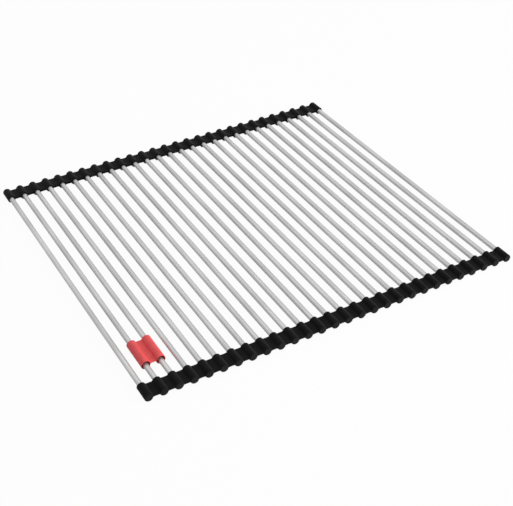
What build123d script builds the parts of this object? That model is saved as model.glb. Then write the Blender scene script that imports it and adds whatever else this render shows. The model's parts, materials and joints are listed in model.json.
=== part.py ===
"""Roll up dish drying rack: steel tubes side by side, held by a flexible moulded strip at each end,
with a clip that slides along two of the tubes.

X runs along the end strips, Y along the tubes, and Z is up. The rack lies flat on Z = 0, with the
origin under its middle. All sizes are in millimetres.
"""

from build123d import *

import os

# Driving sizes of the rack
rod_count = 28
rod_pitch = 17.0
rack_length = 427.0

# Tubes
rod_diameter = 6.0
rod_wall = 0.5

# Sleeves of the end strips: one closed sleeve on each tube end
sleeve_wall = 1.8
sleeve_length = 20.2
end_wall = 2.4
end_taper_length = 0.6
end_taper_height = 0.7
seat_clearance = 0.04
rod_end_clearance = 0.2
foot_depth = 0.35

# Webs of the end strips: the thin flexible sheet from one sleeve to the next
web_thickness = 2.8
web_scallop = 0.4
web_fillet = 1.6

# Clip: two loose tubes joined by a plate, on a neighbouring pair of rods
rods_before_clip_count = 1
clip_length = 37.0
clip_to_sleeve = 24.1
clip_clearance = 1.6
clip_wall = 0.7
clip_plate_thickness = 1.0
clip_plate_rise = 0.6
clip_fillet = 0.8
clip_end_chamfer = 0.25

# Worked out from the sizes above
rod_radius = rod_diameter / 2
sleeve_radius = rod_radius + sleeve_wall
bore_radius = rod_radius + seat_clearance
axis_height = sleeve_radius - foot_depth
outer_end = rack_length / 2
mouth = outer_end - sleeve_length
bore_depth = sleeve_length - end_wall
half_rod = outer_end - end_wall - rod_end_clearance
half_pitch = rod_pitch / 2
web_outer = outer_end - end_taper_length
clip_radius = rod_radius + clip_clearance + clip_wall
clip_rods = (rods_before_clip_count + 1, rods_before_clip_count + 2)


def rod_x(number):
    """Where a tube stands along the strips, with tubes counted from 1 at the left."""
    return (number - (rod_count + 1) / 2) * rod_pitch


def make_rod(number):
    """A thin-walled tube that reaches into the sleeve at each end."""
    with BuildPart() as rod:
        with BuildSketch(Plane.XZ):
            with Locations((rod_x(number), axis_height)):
                Circle(rod_radius)
                Circle(rod_radius - rod_wall, mode=Mode.SUBTRACT)
        extrude(amount=half_rod, both=True)
    return rod.part


def half_web(sleeve_x, side):
    """Outline of the web from a sleeve's middle to half way to the next, hollowed at both edges."""
    near_x = sleeve_x + side * (sleeve_radius - web_thickness / 2)
    middle_x = sleeve_x + side * half_pitch
    with BuildSketch(Plane.XY.offset(axis_height)) as web:
        with BuildLine():
            Line((sleeve_x, mouth), (near_x, mouth))
            TangentArc((middle_x, mouth + web_scallop), (near_x, mouth), tangent=(-side, 0))
            Line((middle_x, mouth + web_scallop), (middle_x, web_outer - web_scallop))
            TangentArc((middle_x, web_outer - web_scallop), (near_x, web_outer), tangent=(-side, 0))
            Line((near_x, web_outer), (sleeve_x, web_outer))
            Line((sleeve_x, web_outer), (sleeve_x, mouth))
        make_face()
    return web.sketch


def sleeve_section(sleeve_x):
    """Half section of a closed sleeve, narrowing at its outer end."""
    top = axis_height + sleeve_radius
    with BuildSketch(Plane.YZ.offset(sleeve_x)) as section:
        with BuildLine():
            Polyline(
                (mouth, axis_height),
                (mouth, top),
                (outer_end - end_taper_length, top),
                (outer_end, top - end_taper_height),
                (outer_end, axis_height),
                close=True,
            )
        make_face()
    return section.sketch


def make_link(numbers):
    """One length of both end strips: the sleeves on these tubes, with the webs cut half way to the next."""
    places = [rod_x(number) for number in numbers]
    with BuildPart() as link:
        for number in numbers:
            add(sleeve_section(rod_x(number)))
            revolve(axis=Axis((rod_x(number), 0, axis_height), (0, 1, 0)))
        for number in numbers:
            for side in (-1, 1):
                if 1 <= number + side <= rod_count:
                    add(half_web(rod_x(number), side))
                    extrude(amount=web_thickness / 2, both=True)
        roots = link.edges().filter_by(
            lambda edge: abs(abs(edge.center().Z - axis_height) - web_thickness / 2) < seat_clearance
            and min(abs(edge.center().X - x) for x in places) < sleeve_radius
        )
        fillet(roots, web_fillet)
        for number in numbers:
            with Locations(Plane(origin=(rod_x(number), mouth, axis_height), z_dir=(0, -1, 0))):
                Hole(bore_radius, depth=bore_depth)
        split(bisect_by=Plane.XY, keep=Keep.TOP)
        mirror(about=Plane.XZ)
    return link.part


def make_clip():
    """Two tubes round neighbouring rods, joined by a plate just above the rods' middle."""
    places = [(rod_x(number), clip_radius) for number in clip_rods]
    middle_x = places[0][0] + half_pitch
    near_end = -mouth + clip_to_sleeve
    with BuildPart() as clip:
        with BuildSketch(Plane.XZ.offset(-near_end)) as section:
            with Locations(*places):
                Circle(clip_radius)
            with Locations((middle_x, clip_radius + clip_plate_rise)):
                Rectangle(rod_pitch, clip_plate_thickness)
            roots = section.vertices().filter_by(lambda corner: abs(corner.X - middle_x) < half_pitch)
            fillet(roots, clip_fillet)
            with Locations(*places):
                Circle(clip_radius - clip_wall, mode=Mode.SUBTRACT)
        extrude(amount=-clip_length)
        ends = clip.faces().sort_by(Axis.Y)
        chamfer(ends[0].outer_wire().edges() + ends[-1].outer_wire().edges(), clip_end_chamfer)
    return clip.part


os.makedirs("parts", exist_ok=True)

for number in range(1, rod_count + 1):
    rod_part = make_rod(number)
    rod_part.label = f"rod_{number:02d}"
    export_step(rod_part, f"parts/{rod_part.label}.step")

groups = [[number] for number in range(1, rod_count + 1) if number not in clip_rods]
groups.append(list(clip_rods))
for group in sorted(groups):
    link_part = make_link(group)
    link_part.label = "strip_link_" + "_".join(f"{number:02d}" for number in group)
    export_step(link_part, f"parts/{link_part.label}.step")

clip_part = make_clip()
clip_part.label = "clip"
export_step(clip_part, "parts/clip.step")
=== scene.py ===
"""Dresses the roll up dish drying rack: satin steel tubes, soft black end strips and a red clip.

X runs along the end strips, Y along the tubes and Z is up, in metres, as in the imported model.
"""

import json
import math

import bpy
import bmesh
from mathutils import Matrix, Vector


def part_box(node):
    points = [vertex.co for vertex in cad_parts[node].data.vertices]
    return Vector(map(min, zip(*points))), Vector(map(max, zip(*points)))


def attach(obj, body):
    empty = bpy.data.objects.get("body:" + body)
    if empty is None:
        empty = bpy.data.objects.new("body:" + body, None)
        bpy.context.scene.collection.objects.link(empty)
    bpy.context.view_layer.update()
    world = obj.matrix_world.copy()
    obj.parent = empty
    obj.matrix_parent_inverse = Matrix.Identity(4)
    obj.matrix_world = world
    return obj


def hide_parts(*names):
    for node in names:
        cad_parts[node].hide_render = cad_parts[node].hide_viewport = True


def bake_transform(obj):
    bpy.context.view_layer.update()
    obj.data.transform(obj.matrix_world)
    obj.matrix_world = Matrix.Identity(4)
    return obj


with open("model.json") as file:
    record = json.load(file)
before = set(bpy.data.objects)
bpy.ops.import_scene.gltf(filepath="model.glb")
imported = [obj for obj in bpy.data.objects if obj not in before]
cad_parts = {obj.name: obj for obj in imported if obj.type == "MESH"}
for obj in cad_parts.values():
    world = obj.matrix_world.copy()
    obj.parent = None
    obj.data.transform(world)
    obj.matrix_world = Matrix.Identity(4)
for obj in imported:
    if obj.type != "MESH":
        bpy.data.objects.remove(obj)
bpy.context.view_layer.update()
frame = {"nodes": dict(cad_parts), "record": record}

# Places and sizes read from the frame
bodies = frame["record"]["behaviour"]["bodies"]
rod_count = sum(name.startswith("rod_") for name in frame["nodes"])
first_low, first_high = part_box("rod_01")
last_low, last_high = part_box(f"rod_{rod_count:02d}")
strip_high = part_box("strip_link_01")[1]
clip_low, clip_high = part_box("clip")
axis_z = (first_high.z + first_low.z) / 2
first_x = (first_high.x + first_low.x) / 2
last_x = (last_high.x + last_low.x) / 2
pitch = (last_x - first_x) / (rod_count - 1)
outer_end = strip_high.y
sleeve_radius = strip_high.z - axis_z

# Rounded edges and fillets
arc_steps = 6

# Sleeves of the end strips
sleeve_length = 0.0202
mouth = outer_end - sleeve_length
bore_radius = 0.00302
bore_depth = 0.008
sleeve_end_round = 0.0013
sleeve_mouth_round = 0.00045
sleeve_sides = 64
sleeve_sharp_degrees = 32

# Webs between the sleeves
web_half = 0.0014
web_fillet = 0.0016
web_outer_setback = 0.0006
web_scallop = 0.0004
web_edge_round = 0.0006
web_sink = 0.00008
web_reach_share = 0.5
web_flat_columns = 10
web_rows = 8
web_sharp_degrees = 50

# Clip
clip_wall = 0.0007
clip_plate_rise = 0.0006
clip_plate_half = 0.0005
clip_fillet = 0.0008
clip_edge_round = 0.00025
clip_steps = 48
clip_sharp_degrees = 40

# Steel: noise is stretch, scale, detail and roughness, and relief is depth and strength
steel_lines = ((60, 2600, 60), 1, 3, 0.6)
steel_marks = ((120, 18, 120), 1, 1, 0.5)
steel_shades = ((0.3, (0.49, 0.49, 0.49)), (0.7, (0.60, 0.60, 0.60)))
steel_roughness = (0.40, 0.52)
steel_relief = (0.00002, 0.12)
steel_constants = {"Metallic": 0.75, "Specular IOR Level": 0.2}

# Silicone, with painted light that makes the outermost faces paler
silicone_grain = ((1, 1, 1), 2600, 2, 0.6)
silicone_cloud = ((1, 1, 1), 90, 4, 0.6)
silicone_shades = ((0.3, (0.0052, 0.0052, 0.0054)), (0.75, (0.0104, 0.0104, 0.0108)))
# Painted light: paler shades for the outermost faces, standing in for the light that falls on them
painted_end_light_shades = ((0.3, (0.012, 0.012, 0.0122)), (0.75, (0.021, 0.021, 0.0214)))
painted_end_light_depth = 0.0008
silicone_roughness = (0.5, 0.66)
silicone_relief = (0.00006, 0.35)
silicone_constants = {"Specular IOR Level": 0.035, "Sheen Weight": 0.12, "Sheen Roughness": 0.35}

# Red plastic
plastic_grain = ((1, 1, 1), 1800, 2, 0.5)
plastic_cloud = ((1, 1, 1), 120, 1, 0.5)
plastic_shades = ((0.25, (0.80, 0.085, 0.09)), (0.75, (0.88, 0.105, 0.11)))
plastic_roughness = (0.42, 0.54)
plastic_relief = (0.00002, 0.12)
plastic_constants = {"Specular IOR Level": 0.3}

# Camera in degrees and metres, from the vanishing lines of the photograph
image_width = 513
focal_pixels = 1037.05
camera_azimuth = 29.843
camera_elevation = 36.727
camera_target = Vector((-0.018279, -0.058083, axis_z))
camera_distance = 1.21648
sensor_width = 36

# Studio: lamp sizes and places in metres, and brightness as a multiple of white paper
white = (1, 1, 1, 1)
floor_size = 8
floor_paint = (0.85, 0.85, 0.85, 1)
floor_glow_share = 0.95
floor_mirrored_glow_share = 0.5
world_light = 0.45
lamp_size = 1.5
key_place = (1.7, -1.45, 0.85)
key_brightness = 7
back_place = (-0.3, 0.9, 2.1)
back_brightness = 1


def rod_x(number):
    """Where a tube stands along the strips, with tubes counted from 1 at the left."""
    return first_x + (number - 1) * pitch


def body_holding(node):
    """Name of the body that carries a node."""
    return next(name for name, members in bodies.items() if node in members)


def material(name, constants):
    """A new material with its nodes and links, and its main shader with the constants set."""
    made = bpy.data.materials.new(name)
    made.use_nodes = True
    shader = made.node_tree.nodes["Principled BSDF"]
    for socket, value in constants.items():
        shader.inputs[socket].default_value = value
    return made, made.node_tree.nodes, made.node_tree.links, shader


def object_noise(nodes, links, stretch, scale, detail, roughness):
    """Noise that stays with the piece, stretched by a factor on each axis."""
    place = nodes.new("ShaderNodeTexCoord")
    spread = nodes.new("ShaderNodeMapping")
    spread.inputs["Scale"].default_value = stretch
    noise = nodes.new("ShaderNodeTexNoise")
    noise.inputs["Scale"].default_value = scale
    noise.inputs["Detail"].default_value = detail
    noise.inputs["Roughness"].default_value = roughness
    links.new(place.outputs["Object"], spread.inputs["Vector"])
    links.new(spread.outputs["Vector"], noise.inputs["Vector"])
    return noise.outputs["Fac"]


def graded(nodes, links, source, shades):
    """A colour ramp over a value, from two pairs of place and colour."""
    ramp = nodes.new("ShaderNodeValToRGB")
    for element, (place, colour) in zip(ramp.color_ramp.elements, shades):
        element.position = place
        element.color = (*colour, 1)
    links.new(source, ramp.inputs["Fac"])
    return ramp.outputs["Color"]


def ranged(nodes, links, source, low, high, from_low=0, from_high=1):
    """A value from one range, usually 0 to 1, carried to another."""
    change = nodes.new("ShaderNodeMapRange")
    change.inputs["From Min"].default_value = from_low
    change.inputs["From Max"].default_value = from_high
    change.inputs["To Min"].default_value = low
    change.inputs["To Max"].default_value = high
    links.new(source, change.inputs["Value"])
    return change.outputs["Result"]


def combined(nodes, links, operation, one, two):
    """Two values worked into one, such as their maximum or product."""
    result = nodes.new("ShaderNodeMath")
    result.operation = operation
    links.new(one, result.inputs[0])
    links.new(two, result.inputs[1])
    return result.outputs["Value"]


def bumped(nodes, links, shader, height, depth, strength):
    """Small relief on a shader."""
    bump = nodes.new("ShaderNodeBump")
    bump.inputs["Distance"].default_value = depth
    bump.inputs["Strength"].default_value = strength
    links.new(height, bump.inputs["Height"])
    links.new(bump.outputs["Normal"], shader.inputs["Normal"])


def make_steel():
    """Satin steel with fine lines round the tube and faint longer marks."""
    made, nodes, links, shader = material("satin_steel", steel_constants)
    lines = object_noise(nodes, links, *steel_lines)
    marks = object_noise(nodes, links, *steel_marks)
    links.new(graded(nodes, links, marks, steel_shades), shader.inputs["Base Color"])
    links.new(ranged(nodes, links, lines, *steel_roughness), shader.inputs["Roughness"])
    bumped(nodes, links, shader, lines, *steel_relief)
    return made


def painted_end_light_mask(nodes, links):
    """Mask for the painted light on the strips' outermost faces: one there, zero elsewhere, from
    the distance along the tubes.
    """
    place = nodes.new("ShaderNodeTexCoord")
    split = nodes.new("ShaderNodeSeparateXYZ")
    distance = nodes.new("ShaderNodeMath")
    distance.operation = "ABSOLUTE"
    links.new(place.outputs["Object"], split.inputs["Vector"])
    links.new(split.outputs["Y"], distance.inputs[0])
    start = outer_end - painted_end_light_depth
    return ranged(nodes, links, distance.outputs["Value"], 0, 1, start, outer_end)


def make_silicone():
    """Matte black silicone with a fine grain, a little dust, and end faces painted paler as painted
    light.
    """
    made, nodes, links, shader = material("black_silicone", silicone_constants)
    grain = object_noise(nodes, links, *silicone_grain)
    cloud = object_noise(nodes, links, *silicone_cloud)
    both = nodes.new("ShaderNodeMix")
    both.data_type = "RGBA"
    # Painted light: the outermost faces take the paler shades
    links.new(painted_end_light_mask(nodes, links), both.inputs["Factor"])
    links.new(graded(nodes, links, cloud, silicone_shades), both.inputs["A"])
    links.new(graded(nodes, links, cloud, painted_end_light_shades), both.inputs["B"])
    links.new(both.outputs["Result"], shader.inputs["Base Color"])
    links.new(ranged(nodes, links, cloud, *silicone_roughness), shader.inputs["Roughness"])
    bumped(nodes, links, shader, grain, *silicone_relief)
    return made


def make_red_plastic():
    """Satin red plastic with a faint moulded grain."""
    made, nodes, links, shader = material("red_plastic", plastic_constants)
    grain = object_noise(nodes, links, *plastic_grain)
    cloud = object_noise(nodes, links, *plastic_cloud)
    links.new(graded(nodes, links, cloud, plastic_shades), shader.inputs["Base Color"])
    links.new(ranged(nodes, links, cloud, *plastic_roughness), shader.inputs["Roughness"])
    bumped(nodes, links, shader, grain, *plastic_relief)
    return made


def finished_piece(name, build, finish, sharp_degrees):
    """A smooth-shaded object made from a bmesh, with all its normals outwards."""
    bmesh.ops.recalc_face_normals(build, faces=build.faces)
    mesh = bpy.data.meshes.new(name)
    build.to_mesh(mesh)
    build.free()
    mesh.materials.append(finish)
    mesh.shade_smooth()
    mesh.set_sharp_from_angle(angle=math.radians(sharp_degrees))
    piece = bpy.data.objects.new(name, mesh)
    bpy.context.scene.collection.objects.link(piece)
    return piece


def joined_rings(build, rings):
    """Adds closed rings of points, joined by quads, and gives them back as rings of corners."""
    made = [[build.verts.new(point) for point in ring] for ring in rings]
    for one, two in zip(made, made[1:]):
        for k in range(len(one)):
            build.faces.new((one[k - 1], one[k], two[k], two[k - 1]))
    return made


def end_pair(name, rings, finish, sharp_degrees):
    """Two closed solids as one piece: the far one, made of these rings, and its mirror image."""
    build = bmesh.new()
    for side in (-1, 1):
        placed = [[(x, side * y, z) for x, y, z in ring] for ring in rings]
        made = joined_rings(build, placed)
        build.faces.new(made[0])
        build.faces.new(made[-1])
    return finished_piece(name, build, finish, sharp_degrees)


def rounded_edge(end, inwards, radius):
    """Places along Y and depths under the side, from an end face inwards along its rounded edge."""
    angles = [math.pi / 2 * k / arc_steps for k in range(arc_steps + 1)]
    steps = [(radius * (1 - math.cos(a)), radius * (1 - math.sin(a))) for a in angles]
    return [(end + inwards * along, depth) for along, depth in steps]


def sleeve_profile():
    """Places along Y and radii of a far sleeve: rounded end, side, mouth and the bore behind it."""
    side = rounded_edge(outer_end, -1, sleeve_end_round)
    side += reversed(rounded_edge(mouth, 1, sleeve_mouth_round))
    profile = [(y, sleeve_radius - depth) for y, depth in side]
    profile.append((mouth, bore_radius + sleeve_mouth_round / 2))
    profile.append((mouth + sleeve_mouth_round / 2, bore_radius))
    profile.append((mouth + bore_depth, bore_radius))
    return profile


def sleeve_rings(x):
    """Rings of a far sleeve, flat where it rests."""
    angles = [2 * math.pi * k / sleeve_sides for k in range(sleeve_sides)]
    rings = []
    for y, radius in sleeve_profile():
        circle = [(radius * math.cos(a), radius * math.sin(a)) for a in angles]
        rings.append([(x + across, y, max(0, axis_z + up)) for across, up in circle])
    return rings


def make_sleeves(number, finish):
    """The two sleeves on a tube's ends."""
    rings = sleeve_rings(rod_x(number))
    return end_pair(f"sleeves_{number:02d}", rings, finish, sleeve_sharp_degrees)


def radius_at(y):
    """Radius of a far sleeve's outside at a place along it, smaller in its rounded end."""
    into = min(y - (outer_end - sleeve_end_round), sleeve_end_round)
    if into <= 0:
        return sleeve_radius
    return sleeve_radius - sleeve_end_round + math.sqrt(sleeve_end_round ** 2 - into ** 2)


def fillet_span(radius):
    """Distances from a sleeve's middle where a web's fillet leaves the sleeve and turns flat."""
    flat = math.sqrt((radius + web_fillet) ** 2 - (web_half + web_fillet) ** 2)
    return flat * radius / (radius + web_fillet), flat


def web_height(distance, radius):
    """Half thickness of a web at a distance from the nearer sleeve's middle: flat, then the fillet,
    then just inside the sleeve's skin."""
    root, flat = fillet_span(radius)
    if distance >= flat:
        return web_half
    if distance >= root:
        return web_half + web_fillet - math.sqrt(web_fillet ** 2 - (flat - distance) ** 2)
    skin = radius - min(web_sink, (root - distance) / arc_steps)
    return max(web_half, math.sqrt(skin ** 2 - distance ** 2))


def web_distances():
    """Places of a web's columns, from inside its left sleeve to inside its right one."""
    root, flat = fillet_span(sleeve_radius)
    reach = sleeve_radius * web_reach_share
    turn = math.asin((flat - root) / web_fillet)
    left = [reach + (root - reach) * k / arc_steps for k in range(arc_steps)]
    left += [flat - web_fillet * math.sin(turn * (1 - k / arc_steps)) for k in range(arc_steps + 1)]
    middle = [flat + (pitch - 2 * flat) * k / web_flat_columns for k in range(1, web_flat_columns)]
    return left + middle + [pitch - distance for distance in reversed(left)]


def web_ring(distance):
    """A ring round a far web, over Y and Z, at a distance from its left sleeve's middle."""
    dip = web_scallop * math.sin(math.pi * distance / pitch) ** 2
    inner = mouth + dip
    outer = outer_end - web_outer_setback - dip
    row_depth = (outer - inner - 2 * web_edge_round) / web_rows
    stations = rounded_edge(inner, 1, web_edge_round)
    stations += [(inner + web_edge_round + row_depth * k, 0) for k in range(1, web_rows)]
    stations += reversed(rounded_edge(outer, -1, web_edge_round))
    nearer = min(distance, pitch - distance)
    top = [(y, web_height(nearer, radius_at(y)) - depth) for y, depth in stations]
    return top + [(y, -z) for y, z in reversed(top)]


def web_rings(left_x):
    """Rings of a far web, with its roots sunk in the sleeves' walls."""
    rings = []
    for distance in web_distances():
        rings.append([(left_x + distance, y, axis_z + z) for y, z in web_ring(distance)])
    return rings


def make_webs(left_number, finish):
    """The near and far web between two neighbouring tubes."""
    rings = web_rings(rod_x(left_number))
    name = f"webs_{left_number:02d}_{left_number + 1:02d}"
    return end_pair(name, rings, finish, web_sharp_degrees)


def arc(centre, radius, start, end, steps, outwards=1):
    """Points with outward directions along an arc."""
    made = []
    for k in range(steps + 1):
        angle = start + (end - start) * k / steps
        direction = Vector((math.cos(angle), math.sin(angle)))
        made.append((Vector(centre) + radius * direction, outwards * direction))
    return made


def clip_outline(middle_x, centre_z, radius):
    """Outline of the clip's end with outward directions: its left half and the mirror image."""
    half = pitch / 2
    leans, fillets = [], []
    for sign in (1, -1):
        height = clip_plate_half + sign * clip_plate_rise + clip_fillet
        reach = math.sqrt((radius + clip_fillet) ** 2 - height ** 2)
        lean = math.atan2(height, reach)
        start, end = -sign * math.pi / 2, sign * (lean - math.pi)
        leans.append(lean)
        fillets.append(arc((reach - half, sign * height), clip_fillet, start, end, arc_steps, -1))
    tube = arc((-half, 0), radius, leans[0], 2 * math.pi - leans[1], clip_steps)
    path = fillets[0] + tube[1:-1] + list(reversed(fillets[1]))
    mirrored = [(Vector((-p.x, p.y)), Vector((-d.x, d.y))) for p, d in reversed(path)]
    return [(Vector((middle_x + p.x, centre_z + p.y)), d) for p, d in path + mirrored]


def make_clip(finish):
    """Two tubes round neighbouring rods, joined by a plate, with softened ends."""
    radius = (clip_high.z - clip_low.z) / 2
    centre_z = clip_low.z + radius
    middle_x = (clip_low.x + clip_high.x) / 2
    loops = [clip_outline(middle_x, centre_z, radius)]
    for x in (middle_x - pitch / 2, middle_x + pitch / 2):
        bore = arc((x, centre_z), radius - clip_wall, 0, 2 * math.pi, clip_steps, -1)
        loops.append(bore[:-1])
    sections = rounded_edge(clip_low.y, 1, clip_edge_round)
    sections += reversed(rounded_edge(clip_high.y, -1, clip_edge_round))
    build = bmesh.new()
    near_edges, far_edges = [], []
    for loop in loops:
        rings = []
        for y, inset in sections:
            rings.append([(p.x - d.x * inset, y, p.y - d.y * inset) for p, d in loop])
        made = joined_rings(build, rings)
        for edges, ring in ((near_edges, made[0]), (far_edges, made[-1])):
            edges.extend(build.edges.get((ring[k - 1], ring[k])) for k in range(len(ring)))
    for edges in (near_edges, far_edges):
        bmesh.ops.triangle_fill(build, use_beauty=True, use_dissolve=False, edges=edges)
    return finished_piece("clip_body", build, finish, clip_sharp_degrees)


def dress_rods(finish):
    """Gives the steel tubes their finish."""
    for number in range(1, rod_count + 1):
        rod = frame["nodes"][f"rod_{number:02d}"]
        rod.data.materials.clear()
        rod.data.materials.append(finish)


def dress_strips(finish):
    """Puts a pair of sleeves on each tube and a pair of webs in each gap."""
    links = {}
    for name in frame["nodes"]:
        if name.startswith("strip_link_"):
            for number in name.split("_")[2:]:
                links[int(number)] = name
    for number in range(1, rod_count + 1):
        sleeves = make_sleeves(number, finish)
        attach(sleeves, body_holding(links[number]))
        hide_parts(links[number])
    for number in range(1, rod_count):
        webs = make_webs(number, finish)
        left, right = body_holding(links[number]), body_holding(links[number + 1])
        if left == right:
            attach(webs, left)
        else:
            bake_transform(webs)


def dress_clip(finish):
    """Puts the detailed clip in the plain one's place."""
    piece = make_clip(finish)
    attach(piece, body_holding("clip"))
    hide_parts("clip")


def seen_white(nodes, links):
    """One where a camera, glossy or transmission ray looks, else zero."""
    rays = nodes.new("ShaderNodeLightPath").outputs
    seen = combined(nodes, links, "MAXIMUM", rays["Is Camera Ray"], rays["Is Glossy Ray"])
    return combined(nodes, links, "MAXIMUM", seen, rays["Is Transmission Ray"])


def make_floor():
    """A plain white floor that keeps a soft shadow, and is half painted in mirror images."""
    made = bpy.data.materials.new("floor_white")
    made.use_nodes = True
    nodes, links = made.node_tree.nodes, made.node_tree.links
    nodes.clear()
    output = nodes.new("ShaderNodeOutputMaterial")
    mix = nodes.new("ShaderNodeMixShader")
    paint = nodes.new("ShaderNodeBsdfDiffuse")
    paint.inputs["Color"].default_value = floor_paint
    glow = nodes.new("ShaderNodeEmission")
    glow.inputs["Color"].default_value = white
    mirrored = nodes.new("ShaderNodeLightPath").outputs["Is Glossy Ray"]
    share = ranged(nodes, links, mirrored, floor_glow_share, floor_mirrored_glow_share)
    seen_share = combined(nodes, links, "MULTIPLY", seen_white(nodes, links), share)
    links.new(seen_share, mix.inputs["Fac"])
    links.new(paint.outputs["BSDF"], mix.inputs[1])
    links.new(glow.outputs["Emission"], mix.inputs[2])
    links.new(mix.outputs["Shader"], output.inputs["Surface"])
    bpy.ops.mesh.primitive_plane_add(size=floor_size)
    floor = bpy.context.object
    floor.name = "floor"
    floor.data.materials.append(made)


def make_world():
    """White surroundings as seen, softer as light."""
    world = bpy.data.worlds.new("studio")
    bpy.context.scene.world = world
    world.use_nodes = True
    nodes, links = world.node_tree.nodes, world.node_tree.links
    background = nodes["Background"]
    background.inputs["Color"].default_value = white
    strength = ranged(nodes, links, seen_white(nodes, links), world_light, 1)
    links.new(strength, background.inputs["Strength"])


def area_light(name, place, brightness, mirrored):
    """A square soft light aimed at the rack's middle, as bright as white paper times a factor.

    The steel mirrors a bright lamp as a burnt-out streak, so such a lamp isn't mirrored.
    """
    data = bpy.data.lights.new(name, "AREA")
    data.size = lamp_size
    data.energy = brightness * math.pi * lamp_size ** 2
    lamp = bpy.data.objects.new(name, data)
    lamp.location = place
    lamp.visible_glossy = mirrored
    lamp.rotation_euler = (-Vector(place)).to_track_quat("-Z", "Y").to_euler()
    bpy.context.scene.collection.objects.link(lamp)


def make_camera():
    """The camera at the photograph's place."""
    azimuth, elevation = math.radians(camera_azimuth), math.radians(camera_elevation)
    level = math.cos(elevation)
    forward = Vector((math.sin(azimuth) * level, math.cos(azimuth) * level, -math.sin(elevation)))
    data = bpy.data.cameras.new("camera")
    data.sensor_width = sensor_width
    data.lens = focal_pixels / image_width * sensor_width
    camera = bpy.data.objects.new("camera", data)
    camera.location = camera_target - forward * camera_distance
    camera.rotation_euler = forward.to_track_quat("-Z", "Y").to_euler()
    bpy.context.scene.collection.objects.link(camera)
    bpy.context.scene.camera = camera


bpy.context.scene.view_settings.view_transform = "Standard"
make_camera()
make_world()
make_floor()
area_light("key", key_place, key_brightness, mirrored=False)
area_light("back", back_place, back_brightness, mirrored=True)
dress_rods(make_steel())
dress_strips(make_silicone())
dress_clip(make_red_plastic())
